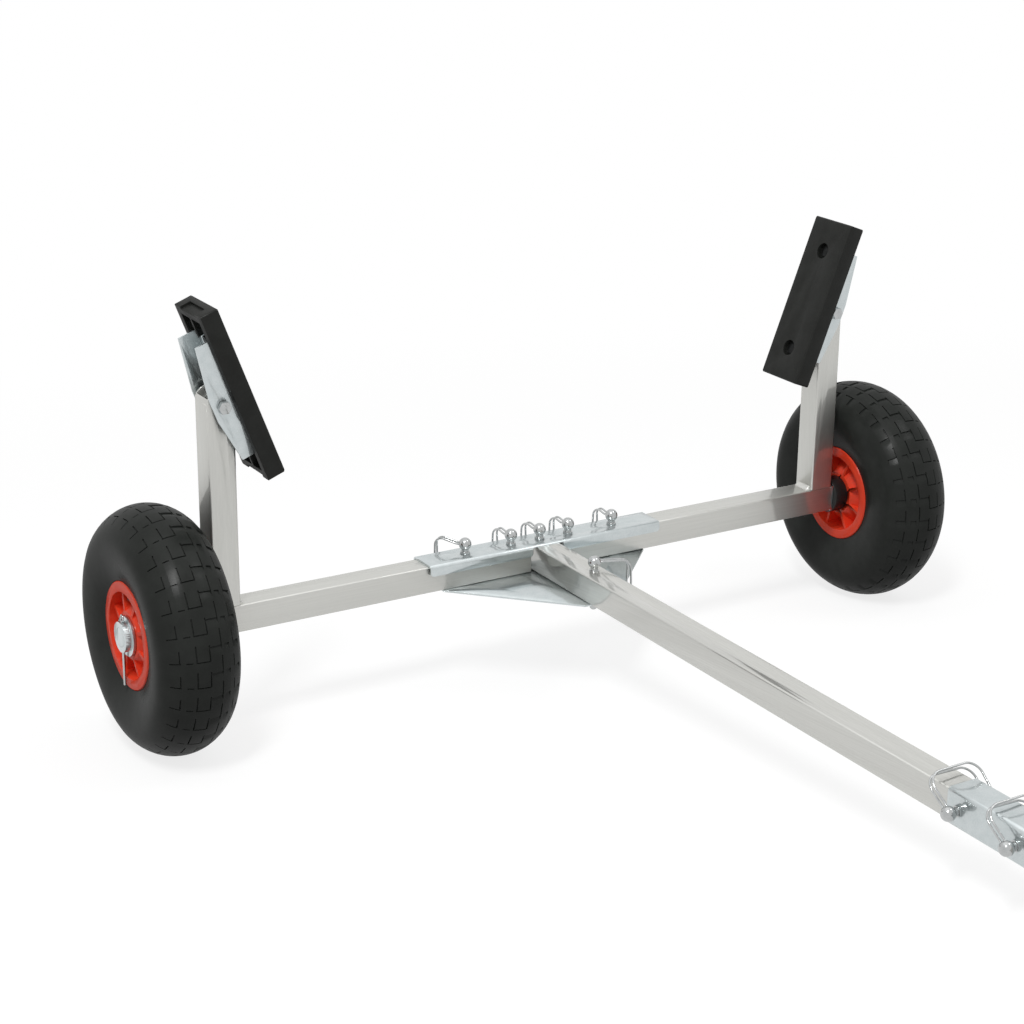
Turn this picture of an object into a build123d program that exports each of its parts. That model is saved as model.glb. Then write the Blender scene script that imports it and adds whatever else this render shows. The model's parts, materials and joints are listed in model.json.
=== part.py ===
from build123d import *
import os
from math import asin, cos, degrees, radians, sin, sqrt

# Two-wheeled aluminium boat trolley with tilting hull pads and a two-part drawbar.
# Sizes are in millimetres and degrees. The pieces are drawn with the trolley level, as it is towed:
# the origin is on the axle line midway between the wheels, X runs along the axle and the drawbar
# points to -Y. place() then lowers the drawbar until its grips lie on the floor, as it is parked.

# Square aluminium tubes: the two beam halves, the uprights and the drawbar
TUBE = 30.0
TUBE_WALL = 2.0
TUBE_CORNER = 2.0
BEAM_GAP = 39.0
PIVOT_HEIGHT = 231.0

# Wheels: tyre, moulded rim with ribs across its sloping web, hub bush and valve
WHEEL_D = 260.0
TRACK = 904.0
TYRE_WIDTH = 88.0
TYRE_WALL = 9.0
TREAD_FLAT = 26.0
SHOULDER_WIDTH = 70.0
SHOULDER_DROP = 12.5
BULGE_DROP = 33.0
BEAD_SEAT_D = 101.6
BEAD_TOE = 10.0
RIM_WIDTH = 72.0
RIM_FLANGE_D = 113.0
RIM_FLANGE = 4.0
RIM_EDGE = 1.2
RIM_WALL = 5.3
HUB_D = 50.0
HUB_SETBACK = 3.0
RIB_COUNT = 8
RIB_WIDTH = 4.0
RIB_SETBACK = 5.0
WEB_DEPTH = 26.0
BUSH_D = 26.0
BUSH_COLLAR_D = 42.0
BUSH_COLLAR = 17.5
VALVE_D = 7.0
VALVE_CAP_D = 9.0
VALVE_STEM = 6.5
VALVE_CAP = 7.5
VALVE_OFFSET = 19.5
VALVE_LEAN = 45.0

# Stub axles with their end plates, collars and split pins
AXLE_D = 20.0
END_PLATE = 3.0
COLLAR_FLANGE_D = 42.0
COLLAR_FLANGE = 3.0
COLLAR_D = 32.0
COLLAR_CAP = 6.0
SPLIT_PIN_D = 3.2
SPLIT_PIN_LEG = 52.5
SPLIT_PIN_EYE = 4.0

# Hull pads, their channel brackets, pivots and screws; s runs along the pad, towards its outer end
PAD_LENGTH = 190.0
PAD_WIDTH = 64.0
PAD_THICK = 20.0
PAD_SHELL = 8.2
PAD_EDGE = 1.5
PAD_CORNER = 2.0
PAD_END_WALL = 9.0
PAD_NOTCH_WIDTH = 36.0
PAD_NOTCH_DEPTH = 3.0
PAD_RIB = 4.0
PAD_FACE = 30.7
PAD_OFFSET = 4.0
PAD_TILT = 69.0
PAD_HOLE_D = 18.0
PAD_HOLE_DEPTH = 6.2
PAD_HOLE_SPACING = 117.0
BRACKET_PAST_SCREW = 6.5
BRACKET_LENGTH = PAD_HOLE_SPACING + 2 * BRACKET_PAST_SCREW
BRACKET_WIDTH = 44.0
BRACKET_SHEET = 2.0
BRACKET_BEND = 3.5
BRACKET_DROP_MID = 11.0
BRACKET_DROP_END = 3.0
BRACKET_FLAT = 24.0
PIVOT_D = 8.0
PIVOT_HEAD_D = 14.0
PIVOT_HEAD = 5.0
PIVOT_SPACER_D = 15.0
SCREW_D = 6.0
SCREW_HEAD_D = 12.0
SCREW_HEAD = 2.4
SCREW_NUT_D = 11.0
SCREW_NUT = 5.0

# Coupling of folded sheet: a channel over the beam halves and a gusset plate under them
SHEET = 2.0
CHANNEL_LENGTH = 296.0
CHANNEL_WIDTH = 39.0
CHANNEL_HEIGHT = 12.0
CHANNEL_BEND = 4.0
CHANNEL_CORNER = 4.0
GUSSET_LENGTH = 260.0
GUSSET_NOSE = 40.0
GUSSET_REACH = 127.0

# Drawbar: the rear tube ends halfway along the sleeve, and the front tube carries the cross handle
SLEEVE_START = 698.0
SLEEVE_LENGTH = 100.0
SLEEVE_WALL = 2.0
SLEEVE_PIN_INSET = 14.0
DRAWBAR_JOINT = 1.0
HANDLE_REACH = 1500.0
HANDLE_D = 25.0
HANDLE_WIDTH = 320.0
GRIP_D = 34.0
GRIP_LENGTH = 120.0
GRIP_END = 4.0
GRIP_EDGE = 3.0

# Lock pins with a ball head; a wire bail comes out of the head and snaps round the pin's far end
PIN_D = 8.0
PIN_TIP = 1.5
PIN_TAIL = 11.0
PIN_COLLAR_D = 10.5
PIN_COLLAR = 2.0
PIN_NECK = 3.6
PIN_HEAD_D = 14.0
PIN_HEAD_FOOT_D = 10.0
PIN_HEAD_TOP_D = 6.0
BAIL_WIRE = 2.2
BAIL_ROOT = 3.0
BAIL_HALF_WIDTH = 2.6
BAIL_START = 9.0
BAIL_CLEAR = 1.5
BAIL_SWING = 14.0
BAIL_SWING_END = 40.0
BAIL_LEAN = 50.0
BAIL_BEAM_RISE = 6.0
BAIL_BEAM_BEND = 8.0
BAIL_DRAWBAR_FALL = 5.0
BAIL_DRAWBAR_BEND = 12.0
BAIL_SLEEVE_RISE = 3.0
BAIL_SLEEVE_BEND = 13.0
PIN_INNER_X = 37.0
PIN_OUTER_X = 95.0
PIN_DRAWBAR_Y = 112.0

# Clearances: sliding tubes and seats, pins in holes, running fits on the axle, end play of the wheels
FIT = 0.3
PIN_PLAY = 0.2
RUN_PLAY = 0.3
SIDE_PLAY = 0.5

# Places worked out from the sizes above
half_tube = TUBE / 2
wheel_r = WHEEL_D / 2
wheel_x = TRACK / 2
hub_end = RIM_WIDTH / 2 - HUB_SETBACK
bush_end = hub_end + BUSH_COLLAR
beam_end = wheel_x - bush_end - SIDE_PLAY - END_PLATE
upright_x = beam_end - half_tube
drum_r = BEAD_SEAT_D / 2 - RIM_WALL
rib_end = RIM_WIDTH / 2 - RIB_SETBACK
web_end = RIM_WIDTH / 2 - WEB_DEPTH
collar_start = wheel_x + hub_end + SIDE_PLAY
axle_end = collar_start + COLLAR_FLANGE + COLLAR_CAP
split_pin_x = axle_end - COLLAR_CAP / 2
sheet_top = half_tube + SHEET
sleeve_inner = TUBE + 2 * FIT
sleeve_outer = sleeve_inner + 2 * SLEEVE_WALL
drawbar_joint_y = SLEEVE_START + SLEEVE_LENGTH / 2
web_top = PAD_FACE - PAD_SHELL
web_under = web_top - BRACKET_SHEET
bracket_inner = BRACKET_WIDTH - 2 * BRACKET_SHEET
head_r = PIN_HEAD_D / 2
head_foot = sqrt(head_r ** 2 - (PIN_HEAD_FOOT_D / 2) ** 2)
head_top = sqrt(head_r ** 2 - (PIN_HEAD_TOP_D / 2) ** 2)
head_middle = PIN_COLLAR + PIN_NECK + head_foot
bail_spread = PIN_D / 2 + BAIL_WIRE / 2 + FIT
park_tilt = degrees(asin((wheel_r - GRIP_D / 2) / HANDLE_REACH))
park_y = (HANDLE_REACH * cos(radians(park_tilt)) + GRIP_D / 2 - wheel_r) / 2

SIDES = (("left", -1), ("right", 1))


def bail_past(half_width, swing):
    """How far out a bail stands to clear a face, swung from straight across it."""
    turn = radians(swing)
    return (half_width + bail_spread * sin(turn) + BAIL_WIRE / 2) / cos(turn) + BAIL_CLEAR


# Lock pins: name, seat of the head (x, y, z), what the pin goes through, which way it points, which way
# its bail swings (degrees round the pin, from the pin's own X), and the bail's shape: how far out it
# stands, how much it rises on the way and the radius of its bends
VERTICAL = (0, 0, 0)
ACROSS = (0, -90, 0)
through_beam = TUBE + 2 * SHEET
through_drawbar = TUBE + SHEET
bail_beam = (bail_past(CHANNEL_WIDTH / 2, BAIL_SWING), BAIL_BEAM_RISE, BAIL_BEAM_BEND)
bail_beam_end = (bail_past(CHANNEL_WIDTH / 2, BAIL_SWING_END), BAIL_BEAM_RISE, BAIL_BEAM_BEND)
gusset_slope = (GUSSET_LENGTH - GUSSET_NOSE) / 2 / (GUSSET_REACH - half_tube)
gusset_past = GUSSET_NOSE / 2 + gusset_slope * (GUSSET_REACH - PIN_DRAWBAR_Y + PIN_D) + BAIL_CLEAR
bail_drawbar = (gusset_past, -BAIL_DRAWBAR_FALL, BAIL_DRAWBAR_BEND)
sleeve_side = sleeve_outer / 2
bail_sleeve = (bail_past(sleeve_side, BAIL_LEAN), BAIL_SLEEVE_RISE, BAIL_SLEEVE_BEND)
to_rear, to_rear_end = 90 + BAIL_SWING, 90 + BAIL_SWING_END
sleeve_pin_y = (SLEEVE_START + SLEEVE_PIN_INSET, SLEEVE_START + SLEEVE_LENGTH - SLEEVE_PIN_INSET)
PINS = (
    ("beam_left_outer", (-PIN_OUTER_X, 0, sheet_top), through_beam, VERTICAL, to_rear_end, bail_beam_end),
    ("beam_left_inner", (-PIN_INNER_X, 0, sheet_top), through_beam, VERTICAL, to_rear, bail_beam),
    ("beam_centre", (0, 0, sheet_top), through_beam, VERTICAL, to_rear, bail_beam),
    ("beam_right_inner", (PIN_INNER_X, 0, sheet_top), through_beam, VERTICAL, to_rear, bail_beam),
    ("beam_right_outer", (PIN_OUTER_X, 0, sheet_top), through_beam, VERTICAL, to_rear, bail_beam),
    ("drawbar", (0, -PIN_DRAWBAR_Y, half_tube), through_drawbar, VERTICAL, 0, bail_drawbar),
    ("sleeve_rear", (-sleeve_side, -sleeve_pin_y[0], 0), sleeve_outer, ACROSS, BAIL_LEAN, bail_sleeve),
    ("sleeve_front", (-sleeve_side, -sleeve_pin_y[1], 0), sleeve_outer, ACROSS, BAIL_LEAN, bail_sleeve),
)


def place(shape):
    """Lower the drawbar to the floor and set the origin under the middle of the parked trolley."""
    return Pos(0, park_y, wheel_r) * Rot(park_tilt, 0, 0) * shape


def mirrored(shape, side):
    """A piece drawn for the right side (+X), or its mirror image on the left."""
    return shape if side > 0 else mirror(shape, about=Plane.YZ)


def square_tube(side, wall, corner, length):
    """Square tube standing on the XY plane."""
    walls = RectangleRounded(side, side, corner) - Rectangle(side - 2 * wall, side - 2 * wall)
    return extrude(walls, length)


def turned(points):
    """Solid turned about the X axis from a closed outline of (place along X, radius)."""
    return revolve(Plane.XZ * make_face(Polyline(*points, close=True)), Axis.X)


def tube_x(outer_d, inner_d, start, end):
    """Round tube along X between two places."""
    ring = Circle(outer_d / 2) - Circle(inner_d / 2)
    return extrude(Plane.YZ.offset(start) * ring, end - start)


def drilled(shape, pins):
    """A piece with the holes of the named lock pins drilled through it."""
    for name, seat, grip_length, turn, *_ in PINS:
        if name in pins:
            drill = Cylinder(PIN_D / 2 + PIN_PLAY, 4 * grip_length)
            shape -= Pos(*seat) * Rot(*turn) * drill
    return shape


# Frame tubes
def beam_half():
    length = beam_end - BEAM_GAP / 2
    beam = Pos(BEAM_GAP / 2, 0, 0) * Rot(0, 90, 0) * square_tube(TUBE, TUBE_WALL, TUBE_CORNER, length)
    return drilled(beam, ("beam_right_inner", "beam_right_outer"))


def upright():
    """Tube on the end of the beam, its top rounded about the pad's pivot."""
    height = PIVOT_HEIGHT + half_tube
    post = Pos(upright_x, 0, half_tube) * square_tube(TUBE, TUBE_WALL, TUBE_CORNER, height - half_tube)
    pivot = Pos(upright_x, 0, PIVOT_HEIGHT) * Rot(90, 0, 0)
    corners = Pos(0, half_tube, 0) * Box(TUBE, TUBE, TUBE) - Cylinder(half_tube, TUBE)
    return post - pivot * corners - pivot * Cylinder(PIVOT_D / 2 + PIN_PLAY, 2 * TUBE)


def drawbar_rear():
    length = half_tube + drawbar_joint_y - DRAWBAR_JOINT / 2
    bar = Pos(0, half_tube, 0) * Rot(90, 0, 0) * square_tube(TUBE, TUBE_WALL, TUBE_CORNER, length)
    return drilled(bar, ("beam_centre", "drawbar", "sleeve_rear"))


def drawbar_front():
    """Front tube, its end hollowed out to sit round the handle's bar."""
    start = drawbar_joint_y + DRAWBAR_JOINT / 2
    length = HANDLE_REACH - start
    bar = Pos(0, -start, 0) * Rot(90, 0, 0) * square_tube(TUBE, TUBE_WALL, TUBE_CORNER, length)
    bar -= Pos(0, -HANDLE_REACH, 0) * Rot(0, 90, 0) * Cylinder(HANDLE_D / 2 + FIT, 2 * TUBE)
    return drilled(bar, ("sleeve_front",))


def drawbar_sleeve():
    tube = square_tube(sleeve_outer, SLEEVE_WALL, TUBE_CORNER + SLEEVE_WALL, SLEEVE_LENGTH)
    sleeve = Pos(0, -SLEEVE_START, 0) * Rot(90, 0, 0) * tube
    return drilled(sleeve, ("sleeve_rear", "sleeve_front"))


# Cross handle
def handle_bar():
    half = HANDLE_WIDTH / 2
    return Pos(0, -HANDLE_REACH, 0) * tube_x(HANDLE_D, HANDLE_D - 2 * TUBE_WALL, -half, half)


def grip():
    """Closed rubber sleeve pushed over the end of the handle's bar."""
    tip = HANDLE_WIDTH / 2 + GRIP_END
    start = tip - GRIP_LENGTH
    r = GRIP_D / 2
    bore = HANDLE_D / 2 + FIT
    outline = (
        (start, bore), (start, r - GRIP_EDGE), (start + GRIP_EDGE, r), (tip - GRIP_EDGE, r),
        (tip, r - GRIP_EDGE), (tip, 0), (tip - GRIP_END + FIT, 0), (tip - GRIP_END + FIT, bore),
    )
    return Pos(0, -HANDLE_REACH, 0) * turned(outline)


# Coupling
def coupling_channel():
    """Folded channel over the beam halves; its front lip is open for the drawbar."""
    outer = Rectangle(CHANNEL_WIDTH, 2 * CHANNEL_HEIGHT)
    outer = fillet(outer.vertices(), CHANNEL_BEND)
    inner = Rectangle(CHANNEL_WIDTH - 2 * SHEET, 2 * CHANNEL_HEIGHT - 2 * SHEET)
    inner = fillet(inner.vertices(), CHANNEL_BEND - SHEET)
    fold = (outer - inner) & Pos(0, CHANNEL_HEIGHT / 2) * Rectangle(CHANNEL_WIDTH, CHANNEL_HEIGHT)
    profile = Pos(-CHANNEL_LENGTH / 2, 0, sheet_top - CHANNEL_HEIGHT) * (Plane.YZ * fold)
    channel = extrude(profile, CHANNEL_LENGTH)
    notch = Box(BEAM_GAP, CHANNEL_WIDTH, TUBE, align=(Align.CENTER, Align.MAX, Align.MAX))
    channel -= Pos(0, -half_tube, half_tube) * notch
    feet = channel.edges().filter_by(Axis.Y).group_by(Axis.Z)[0]
    channel = fillet(feet, CHANNEL_CORNER)
    return drilled(channel, [pin[0] for pin in PINS])


def gusset_plate():
    """Flat plate under the beam halves, running forward to a blunt nose under the drawbar."""
    half, nose = GUSSET_LENGTH / 2, GUSSET_NOSE / 2
    outline = Polyline(
        (-half, half_tube), (half, half_tube), (half, -half_tube),
        (nose, -GUSSET_REACH), (-nose, -GUSSET_REACH), (-half, -half_tube), close=True,
    )
    plate = Pos(0, 0, -sheet_top) * extrude(make_face(outline), SHEET)
    return drilled(plate, [pin[0] for pin in PINS])


# Lock pins, drawn hanging down from their seat on the XY plane, the bail towards +X
def lock_pin(grip_length):
    """Turned pin: shank with a bevelled tip, collar on the seat, neck, ball head with the bail's holes."""
    r, collar, foot, top = PIN_D / 2, PIN_COLLAR_D / 2, PIN_HEAD_FOOT_D / 2, PIN_HEAD_TOP_D / 2
    tip = -grip_length - PIN_TAIL
    under = PIN_COLLAR + PIN_NECK
    up = head_middle + head_top
    shank = Polyline(
        (top, up), (0, up), (0, tip), (r - PIN_TIP, tip), (r, tip + PIN_TIP), (r, 0), (collar, 0),
        (collar, PIN_COLLAR), (r, PIN_COLLAR), (r, under), (foot, under),
    )
    ball = ThreePointArc((foot, under), (head_r, head_middle), (top, up))
    pin = revolve(Plane.XZ * make_face([*shank.edges(), *ball.edges()]), Axis.Z)
    hole = Cylinder(BAIL_WIRE / 2 + PIN_PLAY, PIN_HEAD_D, align=(Align.CENTER, Align.CENTER, Align.MIN))
    for side in (-1, 1):
        pin -= Pos(BAIL_ROOT - FIT, side * BAIL_HALF_WIDTH, head_middle) * Rot(0, 90, 0) * hole
    return pin


def wire_bail(grip_length, reach, rise, bend):
    """Loop of wire: both ends in the pin's head, out over the tube, down and round the pin's far end."""
    low = -grip_length - PIN_TAIL / 2
    out = reach + BAIL_WIRE / 2
    leg = FilletPolyline(
        (BAIL_ROOT, BAIL_HALF_WIDTH, head_middle), (BAIL_START, BAIL_HALF_WIDTH, head_middle),
        (out, BAIL_HALF_WIDTH, head_middle + rise), (out, bail_spread, low), (0, bail_spread, low),
        radius=bend,
    )
    round_tip = Pos(0, 0, low) * CenterArc((0, 0), bail_spread, 90, 90)
    path = Wire([*leg.edges(), *round_tip.edges()])
    half = sweep(Plane(origin=path @ 0, z_dir=path % 0) * Circle(BAIL_WIRE / 2), path=path)
    return half + mirror(half, about=Plane.XZ)


# Wheel pieces, drawn about the middle of the right wheel with the outer side to +X
def tyre():
    """Hollow casing with a flat tread band, sloping shoulders and beads that sit on the rim."""
    half, shoulder, tread = TYRE_WIDTH / 2, SHOULDER_WIDTH / 2, TREAD_FLAT / 2
    bulge_r = wheel_r - BULGE_DROP
    bead_u = RIM_WIDTH / 2 - RIM_FLANGE - FIT
    foot_u = RIM_WIDTH / 2 - RIM_EDGE
    seat_r = BEAD_SEAT_D / 2 + FIT
    right_side = (
        (bead_u - BEAD_TOE, seat_r), (bead_u, seat_r), (foot_u, RIM_FLANGE_D / 2 + FIT),
        (half, bulge_r), (shoulder, wheel_r - SHOULDER_DROP), (tread, wheel_r),
    )
    cavity = ((TYRE_WALL - half, bulge_r), (0, wheel_r - TYRE_WALL), (half - TYRE_WALL, bulge_r))
    return turned(right_side + tuple((-u, r) for u, r in reversed(right_side)) + cavity)


def rim():
    """Moulded rim: flanged barrel, hub and, on both sides, a web that slopes in from the hub under ribs."""
    half, flange, hub = RIM_WIDTH / 2, RIM_FLANGE_D / 2, HUB_D / 2
    outline = (
        (hub_end, BUSH_D / 2 + FIT), (hub_end, hub), (rib_end, drum_r), (half, drum_r),
        (half, flange - RIM_EDGE), (half - RIM_EDGE, flange), (half - RIM_FLANGE, BEAD_SEAT_D / 2),
    )
    body = turned(outline + tuple((-u, r) for u, r in reversed(outline)))
    slope = (drum_r - hub) / (hub_end - web_end)
    pockets = turned((
        (web_end, drum_r), (half, hub - slope * (half - hub_end)), (half, drum_r),
    ))
    for index in range(RIB_COUNT):
        rib = Pos(half, 0, drum_r) * Box(RIM_WIDTH, RIB_WIDTH, 2 * drum_r)
        pockets -= Rot((index + 0.5) * 360 / RIB_COUNT, 0, 0) * rib
    return body - pockets - mirror(pockets, about=Plane.YZ)


def hub_bush():
    """Black bush in the hub, with a thick collar that keeps the wheel off the end plate."""
    bore, body, collar = AXLE_D / 2 + RUN_PLAY, BUSH_D / 2, BUSH_COLLAR_D / 2
    return turned((
        (-bush_end, bore), (-bush_end, collar), (-hub_end, collar), (-hub_end, body),
        (hub_end, body), (hub_end, bore),
    ))


def valve():
    """Capped rubber valve in the top pocket, leaning from the barrel outwards and towards the hub."""
    stem = Cylinder(VALVE_D / 2, 2 * VALVE_STEM)
    cap = Pos(0, 0, VALVE_STEM) * Cylinder(
        VALVE_CAP_D / 2, VALVE_CAP, align=(Align.CENTER, Align.CENTER, Align.MIN),
    )
    leaning = Pos(VALVE_OFFSET, 0, drum_r) * Rot(0, 90 + VALVE_LEAN, 0) * (stem + cap)
    return leaning & Rot(0, 90, 0) * Cylinder(drum_r - FIT, 2 * WHEEL_D)


# Stub axle pieces, drawn on the right
def axle():
    """Round stub welded to the plate that closes the end of the beam."""
    plate = Pos(beam_end + END_PLATE / 2, 0, 0) * Box(END_PLATE, TUBE, TUBE)
    stub = Pos((beam_end + axle_end) / 2, 0, 0) * Rot(0, 90, 0) * Cylinder(AXLE_D / 2, axle_end - beam_end)
    return plate + stub - Pos(split_pin_x, 0, 0) * Cylinder(SPLIT_PIN_D / 2 + PIN_PLAY, WHEEL_D)


def axle_collar():
    """Stepped collar that keeps the wheel on the axle."""
    bore = AXLE_D / 2 + PIN_PLAY
    shoulder = collar_start + COLLAR_FLANGE
    collar = turned((
        (collar_start, bore), (collar_start, COLLAR_FLANGE_D / 2), (shoulder, COLLAR_FLANGE_D / 2),
        (shoulder, COLLAR_D / 2), (axle_end, COLLAR_D / 2), (axle_end, bore),
    ))
    return collar - Pos(split_pin_x, 0, 0) * Cylinder(SPLIT_PIN_D / 2 + PIN_PLAY, WHEEL_D)


def split_pin():
    """Pin through collar and axle, with its eye on top."""
    top = COLLAR_D / 2 + FIT
    eye_wire = SPLIT_PIN_D / 4
    length = SPLIT_PIN_LEG + top + SPLIT_PIN_EYE / 2
    leg = extrude(Pos(0, 0, -SPLIT_PIN_LEG) * Circle(SPLIT_PIN_D / 2), length)
    eye = Pos(0, 0, top + SPLIT_PIN_EYE) * Rot(0, 90, 0) * Torus(SPLIT_PIN_EYE - eye_wire, eye_wire)
    return Pos(split_pin_x, 0, 0) * (leg + eye)


# Pad pieces, drawn flat about the pivot: s to +X, the hull face up
def tilted(shape):
    """Turn a pad piece to its parked tilt, outer end up, and set it on the right upright's pivot."""
    return Pos(upright_x, 0, PIVOT_HEIGHT) * Rot(0, -PAD_TILT, 0) * shape


def screw_places():
    """Places of the pad's screws along s."""
    return PAD_OFFSET - PAD_HOLE_SPACING / 2, PAD_OFFSET + PAD_HOLE_SPACING / 2


def pad():
    """Moulded pad: a closed trough under it for the bracket, two counterbored holes, notched ends."""
    block = Pos(PAD_OFFSET, 0, PAD_FACE - PAD_THICK / 2) * Box(PAD_LENGTH, PAD_WIDTH, PAD_THICK)
    block = fillet(block.edges().filter_by(Axis.Z), PAD_CORNER)
    block = chamfer(block.faces().sort_by(Axis.Z)[-1].edges(), PAD_EDGE)
    depth = PAD_THICK - PAD_SHELL
    trough_length = PAD_LENGTH - 2 * PAD_END_WALL
    under = Pos(PAD_OFFSET, 0, web_top - depth / 2)
    block -= under * Box(trough_length, BRACKET_WIDTH + 2 * FIT, depth)
    rib_length = (trough_length - BRACKET_LENGTH) / 2 - FIT
    for end in (-1, 1):
        block += under * Pos(end * (trough_length - rib_length) / 2, 0, 0) * Box(rib_length, PAD_RIB, depth)
        block -= under * Pos(end * PAD_LENGTH / 2, 0, 0) * Box(2 * PAD_NOTCH_DEPTH, PAD_NOTCH_WIDTH, depth)
    for s in screw_places():
        block -= Pos(s, 0, PAD_FACE - PAD_HOLE_DEPTH / 2) * Cylinder(PAD_HOLE_D / 2, PAD_HOLE_DEPTH)
        block -= Pos(s, 0, PAD_FACE) * Cylinder(SCREW_D / 2 + PIN_PLAY, 2 * PAD_THICK)
    return block


def pad_bracket():
    """Folded channel under the pad, its flanges deepest at the pivot."""
    half, flat = BRACKET_LENGTH / 2, BRACKET_FLAT / 2
    depth = web_top + BRACKET_DROP_MID
    outer = fillet(Rectangle(BRACKET_WIDTH, 2 * depth).vertices(), BRACKET_BEND)
    inner = fillet(
        Rectangle(bracket_inner, 2 * depth - 2 * BRACKET_SHEET).vertices(), BRACKET_BEND - BRACKET_SHEET,
    )
    fold = (outer - inner) & Pos(0, depth / 2) * Rectangle(BRACKET_WIDTH, depth)
    profile = Pos(PAD_OFFSET - half, 0, -BRACKET_DROP_MID) * (Plane.YZ * fold)
    channel = extrude(profile, BRACKET_LENGTH)
    side = Polyline(
        (PAD_OFFSET - half, web_top), (PAD_OFFSET - half, -BRACKET_DROP_END), (-flat, -BRACKET_DROP_MID),
        (flat, -BRACKET_DROP_MID), (PAD_OFFSET + half, -BRACKET_DROP_END), (PAD_OFFSET + half, web_top),
        close=True,
    )
    channel &= extrude(Plane.XZ * make_face(side), BRACKET_WIDTH, both=True)
    channel -= Rot(90, 0, 0) * Cylinder(PIVOT_D / 2 + PIN_PLAY, 2 * BRACKET_WIDTH)
    for s in screw_places():
        channel -= Pos(s, 0, web_top) * Cylinder(SCREW_D / 2 + PIN_PLAY, 4 * BRACKET_SHEET)
    return channel


def pad_screws():
    """Two screws with low round heads in the pad's holes and nuts under the bracket."""
    floor = PAD_FACE - PAD_HOLE_DEPTH
    low = web_under - SCREW_NUT
    screws = []
    for s in screw_places():
        head = Pos(s, 0, floor + SCREW_HEAD / 2) * Cylinder(SCREW_HEAD_D / 2, SCREW_HEAD)
        shank = Pos(s, 0, (floor + low) / 2) * Cylinder(SCREW_D / 2, floor - low)
        nut = Pos(s, 0, low) * extrude(RegularPolygon(SCREW_NUT_D / 2, 6), SCREW_NUT)
        screws.append(head + shank + nut)
    return screws


# Pivot of a pad, fixed in the right upright
def pivot_bolt():
    """Bolt along Y with a six-sided head in front and a like nut behind."""
    face = BRACKET_WIDTH / 2 + FIT
    head = extrude(RegularPolygon(PIVOT_HEAD_D / 2, 6), PIVOT_HEAD)
    bolt = Cylinder(PIVOT_D / 2, 2 * face + 2 * PIVOT_HEAD)
    bolt += Pos(0, 0, face) * head
    bolt += Pos(0, 0, -face - PIVOT_HEAD) * head
    return Pos(upright_x, 0, PIVOT_HEIGHT) * Rot(90, 0, 0) * bolt


def pivot_spacers():
    """Two tubes on the bolt that centre the bracket on the upright."""
    length = bracket_inner / 2 - FIT - half_tube
    ring = Circle(PIVOT_SPACER_D / 2) - Circle(PIVOT_D / 2 + PIN_PLAY)
    spacer = Pos(0, 0, half_tube) * extrude(ring, length)
    pair = [Rot(90, 0, 0) * spacer, Rot(-90, 0, 0) * spacer]
    return [Pos(upright_x, 0, PIVOT_HEIGHT) * one for one in pair]


# Assembly: node name and piece, each in the level towing frame
pieces = {
    "coupling_channel": coupling_channel(),
    "gusset_plate": gusset_plate(),
    "drawbar_rear": drawbar_rear(),
    "drawbar_sleeve": drawbar_sleeve(),
    "drawbar_front": drawbar_front(),
    "handle_bar": handle_bar(),
}
wheel_place = Pos(wheel_x, 0, 0)
RIGHT_HAND = {
    "beam": beam_half(),
    "upright": upright(),
    "axle": axle(),
    "axle_collar": axle_collar(),
    "split_pin": split_pin(),
    "handle_grip": grip(),
    "pivot_bolt": pivot_bolt(),
    "pivot_spacers": Compound(pivot_spacers()),
    "tyre": wheel_place * tyre(),
    "rim": wheel_place * rim(),
    "hub_bush": wheel_place * hub_bush(),
    "valve": wheel_place * valve(),
    "pad": tilted(pad()),
    "pad_bracket": tilted(pad_bracket()),
    "pad_screws": tilted(Compound(pad_screws())),
}
for name, piece in RIGHT_HAND.items():
    for side_name, side in SIDES:
        pieces[f"{name}_{side_name}"] = mirrored(piece, side)
for name, seat, grip_length, turn, swing, bail_shape in PINS:
    on_seat = Pos(*seat) * Rot(*turn) * Rot(0, 0, swing)
    pieces[f"lock_pin_{name}"] = on_seat * lock_pin(grip_length)
    pieces[f"bail_{name}"] = on_seat * wire_bail(grip_length, *bail_shape)

os.makedirs("parts", exist_ok=True)
for name, piece in pieces.items():
    export_step(place(piece), f"parts/{name}.step")
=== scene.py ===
import json
from math import asin, atan2, cos, pi, radians, sin

import bmesh
import bpy
import numpy as np
from mathutils import Matrix, Vector


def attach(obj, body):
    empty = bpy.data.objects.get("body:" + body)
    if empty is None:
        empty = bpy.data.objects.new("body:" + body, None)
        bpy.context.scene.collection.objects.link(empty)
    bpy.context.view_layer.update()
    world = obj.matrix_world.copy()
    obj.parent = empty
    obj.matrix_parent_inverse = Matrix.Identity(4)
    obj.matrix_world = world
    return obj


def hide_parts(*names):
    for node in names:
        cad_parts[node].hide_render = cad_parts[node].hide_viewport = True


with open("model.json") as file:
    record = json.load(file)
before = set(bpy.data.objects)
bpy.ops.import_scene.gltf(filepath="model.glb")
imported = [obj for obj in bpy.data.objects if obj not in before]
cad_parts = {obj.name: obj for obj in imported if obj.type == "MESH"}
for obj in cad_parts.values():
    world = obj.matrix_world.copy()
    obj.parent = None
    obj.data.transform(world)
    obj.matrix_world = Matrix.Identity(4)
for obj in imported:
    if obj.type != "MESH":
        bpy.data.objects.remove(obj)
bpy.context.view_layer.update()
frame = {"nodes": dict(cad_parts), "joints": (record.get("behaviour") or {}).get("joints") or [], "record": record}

# Boat trolley: the CAD pieces with rounded edges and real finishes, treaded tyres, ribbed grips and welds.
# Lengths are in millimetres in the level towing frame, as the trolley is drawn: the origin on the axle line
# midway between the wheels, X along the axle, the drawbar to -Y. PARKED takes them to the frame's metres.
MM = 0.001
record = frame["record"]
joints = {joint["name"]: joint for joint in frame["joints"]}
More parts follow.
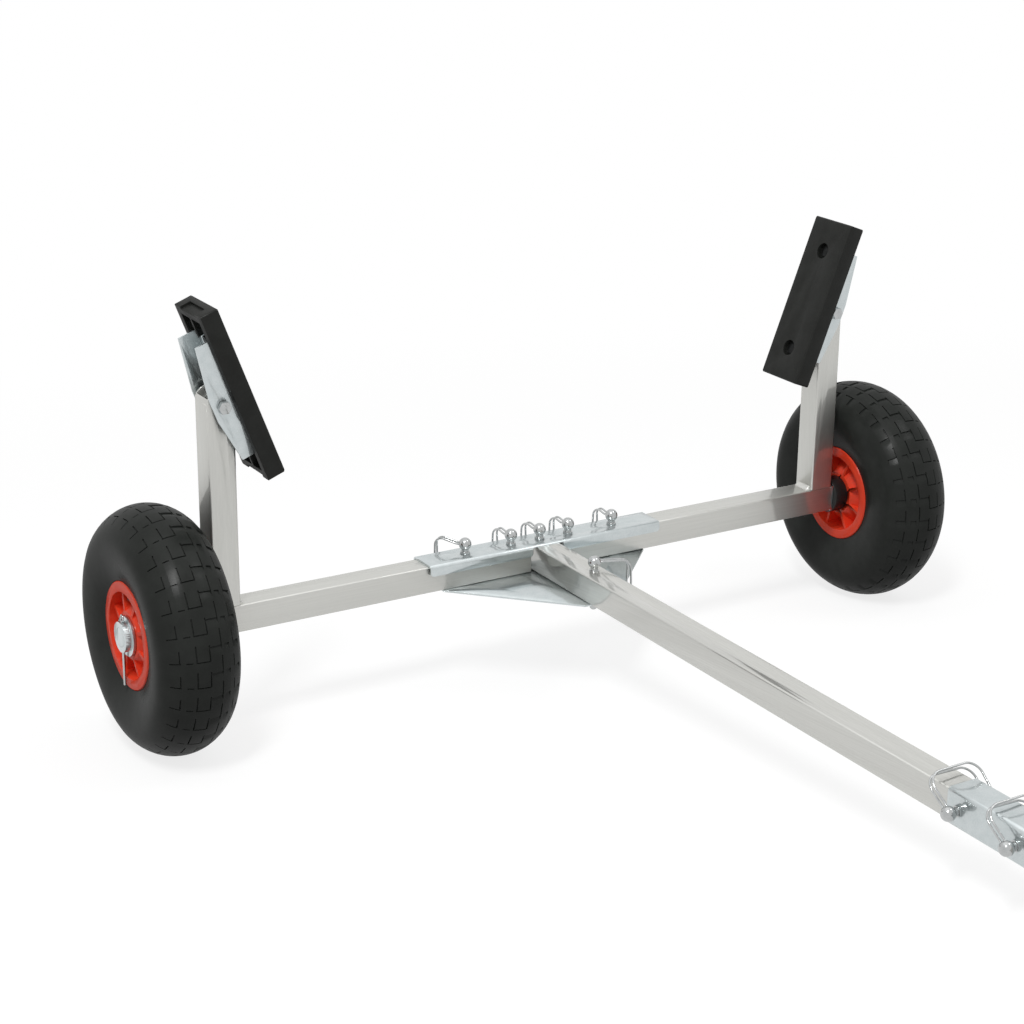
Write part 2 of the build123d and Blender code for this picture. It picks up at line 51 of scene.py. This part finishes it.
body_of = {node: body for body, nodes in record["behaviour"]["bodies"].items() for node in nodes}
slot_of = {part["node"]: part["material_slot"] for part in record["subparts"]}

axle_place = Vector(joints["right_wheel_spin"]["pos_m"])
tilt_axis = Vector(joints["right_pad_tilt"]["axis"])
park_tilt = atan2(tilt_axis.z, tilt_axis.y)
PARKED = (
    Matrix.Translation((0, axle_place.y, axle_place.z))
    @ Matrix.Rotation(park_tilt, 4, "X")
    @ Matrix.Scale(MM, 4)
)
WHEEL_X = axle_place.x / MM
UPRIGHT_X = joints["right_pad_tilt"]["pos_m"][0] / MM
SIDES = (("left", -1), ("right", 1))

# Tubes and handle
HALF_TUBE = 15.0
HANDLE_Y = -1500.0
GRIP_START = 44.0
GRIP_TIP = 164.0
GRIP_R = 17.0
GRIP_BORE_R = 12.8
GRIP_EDGE = 3.0
GRIP_END = 3.7
GRIP_RIB_PITCH = 6.0
GRIP_RIB_DEPTH = 1.1
GRIP_PLAIN_PITCHES = 2
GRIP_STEPS = 72
# One groove between two ribs, by columns: share of the pitch along the grip, share of the depth
GRIP_GROOVE = ((0.0, 0), (0.08, 0.6), (0.2, 1), (0.35, 0.6), (0.45, 0))

# Tyre: the crown and the sidewalls are arcs, and the beads sit in the rim
WHEEL_R = 130.0
TYRE_HALF = 44.0
CROWN_R = 50.0
SHOULDER = radians(48)
FLANGE_R = 56.8
FOOT_U = 34.8
BEAD_U = 31.7
SEAT_R = 51.1
TOE_U = 21.7
WALL = 8.0
LINER_R = 96.0
PITCHES = 30
CUT_DEPTH = 1.5
CUT_WALL = 0.35
TREAD_STEP = 4.5

# Weld at the inner foot of each upright
WELD_LEG = 5.0
WELD_HALF_LENGTH = 12.5
WELD_RIPPLE = 2.4
WELD_RIPPLE_HEIGHT = 0.35
WELD_RIPPLE_ROWS = 6
WELD_THROAT = 0.72
WELD_FACE_STEP = 15
WELD_SUNK = 0.3

# Meshes: points closer than MERGE, in metres, become one. Angles are in degrees: the shading breaks at a
# crease, nearly flat joins are taken out, and joins sharper than an edge are rounded.
MERGE = 1e-6
TREAD_CREASE = 38
WELD_CREASE = 50
GRIP_CREASE = 40
FLAT_ANGLE = 0.5
EDGE_ANGLE = 28
EDGE_SEGMENTS = 2

# Finishes: where the ends of the mottling and of the grain lie in their noise, how fine that noise is, how
# far the share of smooth grains varies either way, and how much extruding draws the pattern out
MOTTLE_ENDS = (0.35, 0.65)
MOTTLE_DETAIL = 3.0
GRAIN_ENDS = (0.3, 0.7)
GRAIN_DETAIL = 2.0
POLISH_SPREAD = 0.03
DIE_LINE_STRETCH = 0.02


def level(points):
    """Points of the level towing frame, in millimetres, as places in the parked frame, in metres."""
    turn = np.array(PARKED.to_3x3())
    return np.asarray(points, float) @ turn.T + np.array(PARKED.translation)


def linear(code):
    """An sRGB hex colour as the linear colour that a shader's socket takes."""
    parts = [int(code[i:i + 2], 16) / 255 for i in (1, 3, 5)]
    return (*[c / 12.92 if c <= 0.04045 else ((c + 0.055) / 1.055) ** 2.4 for c in parts], 1.0)


def node(tree, kind, inputs=None, **settings):
    """A shader node with its settings, its sockets set or linked."""
    made = tree.nodes.new(kind)
    for key, value in settings.items():
        setattr(made, key, value)
    for socket, value in (inputs or {}).items():
        if isinstance(value, bpy.types.NodeSocket):
            tree.links.new(value, made.inputs[socket])
        else:
            made.inputs[socket].default_value = value
    return made


def empty_material(name):
    """A material with an empty node tree, and that tree."""
    material = bpy.data.materials.new(name)
    material.use_nodes = True
    material.node_tree.nodes.clear()
    return material, material.node_tree


def finish(
    name, colours, metallic, roughness, sheen, polish, grain_mm, mottle_mm, bump_mm, stretch=(1, 1, 1),
):
    """A finish with a mottled colour and a fine grain, each drawn from its size in millimetres.

    colours are the dark and the light end of the mottling. roughness and sheen, which is the strength of
    the shine, are given for the smooth and for the dull grains, and polish is the share that is smooth.
    stretch draws the pattern out along the way that the piece was rolled or pressed.
    """
    material, tree = empty_material(name)
    place = node(tree, "ShaderNodeTexCoord").outputs["Object"]
    drawn = node(tree, "ShaderNodeMapping", {"Vector": place, "Scale": stretch}).outputs["Vector"]
    mottle = node(tree, "ShaderNodeTexNoise", {
        "Vector": drawn, "Scale": 1 / (mottle_mm * MM), "Detail": MOTTLE_DETAIL,
    })
    grain = node(tree, "ShaderNodeTexNoise", {
        "Vector": drawn, "Scale": 1 / (grain_mm * MM), "Detail": GRAIN_DETAIL,
    })
    colour = node(tree, "ShaderNodeValToRGB", {"Fac": mottle.outputs["Fac"]})
    for stop, at, code in zip(colour.color_ramp.elements, MOTTLE_ENDS, colours):
        stop.position = at
        stop.color = linear(code)
    bump = node(tree, "ShaderNodeBump", {
        "Height": grain.outputs["Fac"], "Strength": 1.0, "Distance": bump_mm * MM,
    })
    smooth, dull = [
        node(tree, "ShaderNodeBsdfPrincipled", {
            "Base Color": colour.outputs["Color"], "Metallic": metallic, "Roughness": rough,
            "Specular IOR Level": shine, "Normal": bump.outputs["Normal"],
        }).outputs["BSDF"] for rough, shine in zip(roughness, sheen)
    ]
    share = node(tree, "ShaderNodeMapRange", {
        "Value": grain.outputs["Fac"], "From Min": GRAIN_ENDS[0], "From Max": GRAIN_ENDS[1],
        "To Min": polish - POLISH_SPREAD, "To Max": polish + POLISH_SPREAD,
    })
    mixed = node(tree, "ShaderNodeMixShader", {0: share.outputs["Result"], 1: dull, 2: smooth})
    node(tree, "ShaderNodeOutputMaterial", {"Surface": mixed.outputs[0]})
    return material


# Mill-finish aluminium: extruded, so polished and dull die lines lie side by side along the tube, and what
# it mirrors shows clearly but pale. Real die lines are finer than a pixel, so they are drawn 1.5 mm apart.
def mill_aluminium(name, along, polish):
    """The finish of a tube extruded along axis 0, 1 or 2, with polish as its share of polished lines."""
    stretch = [1.0, 1.0, 1.0]
    stretch[along] = DIE_LINE_STRETCH
    return finish(
        name, ("#C5C5C1", "#CACAC6"), 1.0, (0.08, 0.5), (0.5, 0.5), polish, 1.5, 14.0, 0.001, stretch,
    )


# Finish of each slot, by columns: name, dark and light colour, metallic, roughness and then sheen of the
# smooth and of the dull grains, share of smooth grains, and grain, mottling and bump in millimetres
FINISHES = {
    # Blue-white zinc plate on folded sheet: a pale, slightly cloudy metal with fairly clear reflections
    "zinc_steel": finish(
        "zinc plate", ("#C2C9CA", "#C9CFD0"), 1.0, (0.1, 0.42), (0.5, 0.5), 0.5, 1.2, 9.0, 0.001,
    ),
    # Bright zinc on turned pins and wire: clean reflections with hardly any mottling
    "bright_pins": finish(
        "bright zinc", ("#ADAFAF", "#B7B9B9"), 1.0, (0.06, 0.25), (0.5, 0.5), 0.7, 0.8, 6.0, 0.001,
    ),
    # Dull steel screws: their near-black colour is painted shade, the shadow deep in the pads' holes
    "black_screws": finish(
        "steel with painted hole shade", ("#232424", "#2B2C2C"), 1.0, (0.35, 0.55), (0.5, 0.5), 0.5, 0.8, 6.0, 0.004,
    ),
    # Vulcanised tyre rubber: dull grey-black with a thin gloss off the mould
    "tyre": finish(
        "tyre rubber", ("#282A28", "#2E302E"), 0.0, (0.27, 0.7), (0.3, 0.0), 0.32, 0.8, 20.0, 0.012,
    ),
    # Red polypropylene: moulded, so smooth and half glossy, with a faint orange peel
    "rim_plastic": finish(
        "red polypropylene", ("#EC4429", "#F24A2E"), 0.0, (0.25, 0.6), (0.5, 0.0), 0.4, 2.0, 25.0, 0.008,
    ),
    # Black nylon bush, smooth, a little glossy: its black is also painted shade of the hub's hollow
    "bush_plastic": finish(
        "black nylon", ("#1D1E1E", "#232424"), 0.0, (0.3, 0.5), (0.5, 0.2), 0.5, 1.0, 12.0, 0.008,
    ),
    # Valve rubber: soft black, dull
    "valve_rubber": finish(
        "valve rubber", ("#202120", "#272827"), 0.0, (0.4, 0.65), (0.5, 0.1), 0.4, 0.8, 8.0, 0.01,
    ),
    # Moulded pad rubber: near black, dull, with the fine texture of its mould
    "hull_pad": finish(
        "pad rubber", ("#20211F", "#272826"), 0.0, (0.38, 0.65), (0.5, 0.0), 0.35, 0.9, 16.0, 0.012,
    ),
    # Grip rubber: soft black, a little smoother than the pads
    "grip_rubber": finish(
        "grip rubber", ("#232423", "#2A2B2A"), 0.0, (0.4, 0.6), (0.5, 0.1), 0.4, 0.8, 10.0, 0.012,
    ),
}
# Finish of each tube, by columns: name, axis that the tube runs along, share of polished lines
ALUMINIUM = {
    "beam": mill_aluminium("mill aluminium across", 0, 0.25),
    "drawbar": mill_aluminium("mill aluminium along", 1, 0.55),
    "upright": mill_aluminium("mill aluminium upright", 2, 0.25),
    "handle": mill_aluminium("mill aluminium handle", 0, 0.55),
}


def finish_of(name):
    """The finish of a CAD node, from its slot in the record and, for tube, the way it runs."""
    if slot_of[name] == "aluminium":
        return ALUMINIUM[name.split("_")[0]]
    return FINISHES[slot_of[name]]


def show(name, mesh, material, body, stands_for=()):
    """An object for a finished mesh, riding on its body."""
    mesh.materials.append(material)
    piece = bpy.data.objects.new(name, mesh)
    bpy.context.collection.objects.link(piece)
    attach(piece, body)
    if stands_for:
        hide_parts(*stands_for)
    return piece


def closed_mesh(name, points, faces, crease):
    """A smooth-shaded mesh from points in the level frame, its faces turned outwards."""
    mesh = bpy.data.meshes.new(name)
    mesh.from_pydata(level(points).tolist(), [], faces)
    work = bmesh.new()
    work.from_mesh(mesh)
    bmesh.ops.remove_doubles(work, verts=work.verts, dist=MERGE)
    bmesh.ops.recalc_face_normals(work, faces=work.faces)
    work.to_mesh(mesh)
    work.free()
    mesh.polygons.foreach_set("use_smooth", [True] * len(mesh.polygons))
    mesh.set_sharp_from_angle(angle=radians(crease))
    return mesh


def grid_faces(rows, columns):
    """Faces of a grid of points that closes on itself both ways."""
    a = np.arange(rows * columns).reshape(rows, columns)
    b = np.roll(a, -1, axis=0)
    quads = np.stack([a, np.roll(a, -1, axis=1), np.roll(b, -1, axis=1), b], axis=-1)
    return quads.reshape(-1, 4).tolist()


# CAD pieces with their sharp edges rounded, by slot: radius of the edge in millimetres
EDGE = {
    "aluminium": 0.35, "zinc_steel": 0.4, "bright_pins": 0.4, "black_screws": 0.5, "rim_plastic": 0.9,
    "bush_plastic": 0.6, "valve_rubber": 0.8, "hull_pad": 0.9,
}


def rounded_edges(name):
    """A copy of a CAD node whose flat faces are whole again and whose edges are rounded."""
    work = bmesh.new()
    work.from_mesh(frame["nodes"][name].data)
    bmesh.ops.remove_doubles(work, verts=work.verts, dist=MERGE)
    bmesh.ops.dissolve_limit(work, angle_limit=radians(FLAT_ANGLE), verts=work.verts, edges=work.edges)
    mesh = bpy.data.meshes.new(name)
    work.to_mesh(mesh)
    work.free()
    mesh.polygons.foreach_set("use_smooth", [True] * len(mesh.polygons))
    piece = show(name + "_rounded", mesh, finish_of(name), body_of[name], [name])
    bevel = piece.modifiers.new("rounded edges", "BEVEL")
    bevel.width = EDGE[slot_of[name]] * MM
    bevel.segments = EDGE_SEGMENTS
    bevel.limit_method = "ANGLE"
    bevel.angle_limit = radians(EDGE_ANGLE)
    bevel.harden_normals = True


# Tread cuts within one pitch, as (from, to) across the tread and (from, to) round it, in millimetres. The
# side cuts are repeated on the other side, half a pitch on, so the cuts step across the crown.
PITCH = 2 * pi * WHEEL_R / PITCHES
MIDDLE_CUTS = ((-0.65, 0.65, -2.0, 14.7),)
SIDE_CUTS = (
    (0.0, 14.2, 13.4, 14.7),
    (17.2, 24.0, 13.4, 14.7),
    (12.9, 14.2, -3.0, 13.4),
    (29.5, 41.0, 13.4, 14.7),
    (29.5, 30.8, 0.5, 13.4),
)


def tread_cuts():
    """All cuts of one pitch."""
    cuts = list(MIDDLE_CUTS)
    for across, to, start, end in SIDE_CUTS:
        cuts.append((across, to, start, end))
        cuts.append((-to, -across, start + PITCH / 2, end + PITCH / 2))
    return cuts


def lines_for(edges, low, high, spacing):
    """Grid lines at both rims of each cut, with even lines between them where the gaps are wide."""
    lines = {low, high}
    for start, end in edges:
        lines.update((start, start + CUT_WALL, end - CUT_WALL, end))
    lines = sorted(round(v, 4) for v in lines if low <= v <= high)
    filled = [lines[0]]
    for line in lines[1:]:
        gap = line - filled[-1]
        steps = max(1, round(gap / spacing))
        filled += [filled[-1] + gap * k / steps for k in range(1, steps)] + [line]
    return np.array(filled)


def casing_arcs():
    """Arcs of one half of the tyre's outline: radius, angles from straight out, centre (u, r)."""
    shoulder_r = (TYRE_HALF - CROWN_R * sin(SHOULDER)) / (1 - sin(SHOULDER))
    bulge_r = WHEEL_R - CROWN_R + (CROWN_R - shoulder_r) * cos(SHOULDER)
    tuck, drop = TYRE_HALF - FOOT_U, bulge_r - FLANGE_R
    wall_r = (tuck ** 2 + drop ** 2) / (2 * tuck)
    return (
        (CROWN_R, 0.0, SHOULDER, 0.0, WHEEL_R - CROWN_R),
        (shoulder_r, SHOULDER, pi / 2, TYRE_HALF - shoulder_r, bulge_r),
        (wall_r, pi / 2, pi / 2 + asin(drop / wall_r), TYRE_HALF - wall_r, bulge_r),
    )


def casing(w):
    """Place (u, r) and outward direction of the tyre's surface, w along it from the crown's middle line."""
    far, sign = np.abs(w), np.sign(w)
    u, r, angle = np.zeros((3, len(w)))
    begin = 0.0
    for radius, start, end, centre_u, centre_r in casing_arcs():
        on = far >= begin
        angle[on] = np.minimum(start + (far[on] - begin) / radius, end)
        u[on] = centre_u + radius * np.sin(angle[on])
        r[on] = centre_r + radius * np.cos(angle[on])
        begin += radius * (end - start)
    return sign * u, r, sign * np.sin(angle), np.cos(angle)


def tyre(side_name, side):
    """Treaded casing with closed beads: a grid of lines across the tread by lines round the wheel."""
    cuts = tread_cuts()
    foot_w = sum(radius * (end - start) for radius, start, end, *_ in casing_arcs())
    across = lines_for([(low, high) for low, high, *_ in cuts], -foot_w, foot_w, TREAD_STEP)
    wrapped = [(start % PITCH, start % PITCH + end - start) for *_, start, end in cuts]
    round_one = lines_for(wrapped, 0.0, PITCH, TREAD_STEP)[:-1]
    u, r, nu, nr = casing(across)
    depth = np.zeros((len(round_one), len(across)))
    for (low, high, *_), (start, end) in zip(cuts, wrapped):
        inside_w = (across > low + CUT_WALL / 2) & (across < high - CUT_WALL / 2)
        for shift in (0, PITCH):
            t = round_one + shift
            inside_t = (t > start + CUT_WALL / 2) & (t < end - CUT_WALL / 2)
            depth[np.ix_(inside_t, inside_w)] = CUT_DEPTH
    bead = [(BEAD_U, FLANGE_R), (BEAD_U, SEAT_R), (TOE_U, SEAT_R), (TYRE_HALF - WALL, LINER_R)]
    other_bead = [(-out, height) for out, height in reversed(bead)]
    hidden = np.array([*bead, (0, WHEEL_R - WALL), *other_bead])
    rings = []
    for pitch in range(PITCHES):
        for t, sunk in zip(round_one, depth):
            turn = (t + pitch * PITCH) / WHEEL_R
            offset = np.concatenate([u - nu * sunk, hidden[:, 0]])
            radius = np.concatenate([r - nr * sunk, hidden[:, 1]])
            x = side * (WHEEL_X + offset)
            rings.append(np.stack([x, radius * cos(turn), radius * sin(turn)], axis=1))
    faces = grid_faces(len(rings), len(rings[0]))
    mesh = closed_mesh(f"tyre_tread_{side_name}", np.concatenate(rings), faces, TREAD_CREASE)
    name = f"tyre_{side_name}"
    show(f"tyre_tread_{side_name}", mesh, finish_of(name), body_of[name], [name])


def weld(side_name, side):
    """Rippled bead between the top of the beam and the inner face of an upright, its ends tapered."""
    inner_face = UPRIGHT_X - HALF_TUBE
    rows = int(2 * WELD_HALF_LENGTH / WELD_RIPPLE * WELD_RIPPLE_ROWS)
    rings = []
    for row in range(rows + 1):
        y = WELD_HALF_LENGTH * (2 * row / rows - 1)
        taper = min(1.0, (WELD_HALF_LENGTH - abs(y)) / WELD_LEG * 2) ** 0.5
        swell = WELD_RIPPLE_HEIGHT * abs(sin(pi * y / WELD_RIPPLE))
        ring = [(0.0, 0.0)]
        for turn in range(0, 90 + WELD_FACE_STEP, WELD_FACE_STEP):
            reach = WELD_LEG * (WELD_THROAT + (1 - WELD_THROAT) * abs(cos(radians(2 * turn)))) + swell
            ring.append((reach * cos(radians(turn)), reach * sin(radians(turn))))
        for out, rise in ring:
            x = inner_face + WELD_SUNK - taper * out
            rings.append((side * x, y, HALF_TUBE - WELD_SUNK + taper * rise))
    width = len(ring)
    faces = []
    for row in range(0, rows * width, width):
        for k in range(width):
            beside = (k + 1) % width
            faces.append((row + k, row + beside, row + width + beside, row + width + k))
    mesh = closed_mesh(f"weld_{side_name}", np.array(rings), faces, WELD_CREASE)
    show(f"weld_{side_name}", mesh, ALUMINIUM["upright"], "frame")


def turned_about_handle(outline, steps, side):
    """Points and faces of an outline of (place along X, radius) turned about the handle's bar."""
    rings = []
    for step in range(steps):
        turn = 2 * pi * step / steps
        rings.append([(side * x, HANDLE_Y + r * cos(turn), r * sin(turn)) for x, r in outline])
    return np.concatenate(rings), grid_faces(steps, len(outline))


def grip(side_name, side):
    """Rubber grip with rounded ends and a row of ribs."""
    outline = [(GRIP_START, GRIP_BORE_R), (GRIP_START, GRIP_R - GRIP_EDGE)]
    for quarter in (30, 60, 90):
        a = radians(quarter)
        outline.append((GRIP_START + GRIP_EDGE * (1 - cos(a)), GRIP_R - GRIP_EDGE * (1 - sin(a))))
    ribbed = GRIP_TIP - GRIP_START - 2 * GRIP_PLAIN_PITCHES * GRIP_RIB_PITCH
    for rib in range(int(ribbed / GRIP_RIB_PITCH)):
        x = GRIP_START + (rib + GRIP_PLAIN_PITCHES) * GRIP_RIB_PITCH
        for share, sunk in GRIP_GROOVE:
            outline.append((x + share * GRIP_RIB_PITCH, GRIP_R - sunk * GRIP_RIB_DEPTH))
    for quarter in (90, 60, 30, 0):
        a = radians(quarter)
        outline.append((GRIP_TIP - GRIP_EDGE * (1 - cos(a)), GRIP_R - GRIP_EDGE * (1 - sin(a))))
    outline += [(GRIP_TIP, 0.0), (GRIP_TIP - GRIP_END, 0.0), (GRIP_TIP - GRIP_END, GRIP_BORE_R)]
    points, faces = turned_about_handle(outline, GRIP_STEPS, side)
    mesh = closed_mesh(f"ribbed_grip_{side_name}", points, faces, GRIP_CREASE)
    name = f"handle_grip_{side_name}"
    show(f"ribbed_grip_{side_name}", mesh, finish_of(name), body_of[name], [name])


for name in frame["nodes"]:
    if name.startswith("bail_"):
        frame["nodes"][name].data.materials.clear()
        frame["nodes"][name].data.materials.append(finish_of(name))
    elif not name.startswith(("tyre_", "handle_grip_")):
        rounded_edges(name)
for side_name, side in SIDES:
    tyre(side_name, side)
    grip(side_name, side)
    weld(side_name, side)

# Floor: white to the eye, and it still takes the trolley's shadow. Away from the trolley, where there is no
# shadow left, it turns into plain white, so that it meets the white beyond it without an edge. Its sizes are
# in metres, and a strength of 1 is white.
FLOOR_HALF = 40.0
SHADOW_REACH = (1.3, 2.6)
FLOOR_GLOW = 0.79
WORLD_FILL = 0.42
WHITE = 1.0
floor_mesh = bpy.data.meshes.new("floor")
floor_corners = [(x * FLOOR_HALF, y * FLOOR_HALF, 0) for x, y in ((-1, -1), (1, -1), (1, 1), (-1, 1))]
floor_mesh.from_pydata(floor_corners, [], [(0, 1, 2, 3)])
floor = bpy.data.objects.new("floor", floor_mesh)
bpy.context.collection.objects.link(floor)


def seen(tree):
    """1 for rays that show the background: to the eye, off metal or through something clear."""
    path = node(tree, "ShaderNodeLightPath").outputs
    either = node(
        tree, "ShaderNodeMath", {0: path["Is Camera Ray"], 1: path["Is Glossy Ray"]}, operation="MAXIMUM",
    )
    return node(
        tree, "ShaderNodeMath", {0: either.outputs[0], 1: path["Is Transmission Ray"]}, operation="MAXIMUM",
    ).outputs[0]


paper, tree = empty_material("white paper sweep")
matt = node(tree, "ShaderNodeBsdfDiffuse", {"Color": linear("#8C8C8C")})
glow = node(tree, "ShaderNodeEmission", {"Color": linear("#FFFFFF"), "Strength": FLOOR_GLOW})
near = node(tree, "ShaderNodeAddShader", {0: matt.outputs[0], 1: glow.outputs[0]})
far = node(tree, "ShaderNodeEmission", {"Color": linear("#FFFFFF"), "Strength": WHITE})
place = node(tree, "ShaderNodeTexCoord").outputs["Object"]
distance = node(tree, "ShaderNodeVectorMath", {0: place}, operation="LENGTH").outputs["Value"]
away = node(tree, "ShaderNodeMapRange", {
    "Value": distance, "From Min": SHADOW_REACH[0], "From Max": SHADOW_REACH[1],
}, interpolation_type="SMOOTHSTEP").outputs["Result"]
sweep = node(tree, "ShaderNodeMixShader", {0: away, 1: near.outputs[0], 2: far.outputs[0]})
mixed = node(tree, "ShaderNodeMixShader", {0: seen(tree), 1: matt.outputs[0], 2: sweep.outputs[0]})
node(tree, "ShaderNodeOutputMaterial", {"Surface": mixed.outputs[0]})
floor_mesh.materials.append(paper)

world = bpy.data.worlds.new("studio")
bpy.context.scene.world = world
world.use_nodes = True
tree = world.node_tree
tree.nodes.clear()
fill = node(tree, "ShaderNodeBackground", {"Color": linear("#FFFFFF"), "Strength": WORLD_FILL})
white = node(tree, "ShaderNodeBackground", {"Color": linear("#FFFFFF"), "Strength": WHITE})
mixed = node(tree, "ShaderNodeMixShader", {0: seen(tree), 1: fill.outputs[0], 2: white.outputs[0]})
node(tree, "ShaderNodeOutputWorld", {"Surface": mixed.outputs[0]})

# Soft panels, by columns: name, place and width and height in metres, brightness. Each one faces the wheels
PANEL_AIM = Vector((0, 0.4, 0.15))
PANELS = (
    ("overhead", (-0.2, 0.6, 2.8), (2.6, 2.6), 0.4),
    ("front left", (-2.1, -1.5, 4.1), (0.7, 1.6), 32.0),
    ("front right", (1.9, -0.7, 3.4), (1.2, 0.8), 4.0),
)
for name, place, (width, height), brightness in PANELS:
    lamp = bpy.data.lights.new(name, "AREA")
    lamp.shape = "RECTANGLE"
    lamp.size, lamp.size_y = width, height
    lamp.energy = brightness * pi * width * height
    panel = bpy.data.objects.new(name, lamp)
    panel.location = place
    aim = PANEL_AIM - Vector(place)
    panel.rotation_euler = aim.to_track_quat("-Z", "Y").to_euler()
    panel.visible_camera = False
    bpy.context.collection.objects.link(panel)

# Camera of the photograph, in the level frame: angles in degrees, distance in millimetres along the view to
# the axle's middle, and where that point falls in the 1024 by 1024 picture
CAMERA_YAW, CAMERA_PITCH, CAMERA_ROLL = radians(31.077), radians(19.554), radians(0.584)
CAMERA_DISTANCE = 2522.9
FOCAL_PIXELS = 2270.0
PICTURE = 1024
AXLE_PIXEL = (539.23, 552.42)
SENSOR = 36.0

forward = Vector((
    sin(CAMERA_YAW) * cos(CAMERA_PITCH), cos(CAMERA_YAW) * cos(CAMERA_PITCH), -sin(CAMERA_PITCH),
))
level_right = Vector((cos(CAMERA_YAW), -sin(CAMERA_YAW), 0))
level_up = level_right.cross(forward)
right = level_right * cos(CAMERA_ROLL) + level_up * sin(CAMERA_ROLL)
up = level_up * cos(CAMERA_ROLL) - level_right * sin(CAMERA_ROLL)
per_pixel = CAMERA_DISTANCE / FOCAL_PIXELS
eye = -(
    forward * CAMERA_DISTANCE
    + right * (AXLE_PIXEL[0] - PICTURE / 2) * per_pixel
    - up * (AXLE_PIXEL[1] - PICTURE / 2) * per_pixel
)
lens = bpy.data.cameras.new("camera")
lens.sensor_width = SENSOR
lens.lens = FOCAL_PIXELS / PICTURE * SENSOR
camera = bpy.data.objects.new("camera", lens)
facing = Matrix((right, up, -forward)).transposed()
turn = Matrix.Rotation(park_tilt, 3, "X")
camera.matrix_world = Matrix.LocRotScale(PARKED @ eye, (turn @ facing).to_quaternion(), None)
bpy.context.collection.objects.link(camera)
bpy.context.scene.camera = camera
bpy.context.scene.view_settings.view_transform = "Standard"
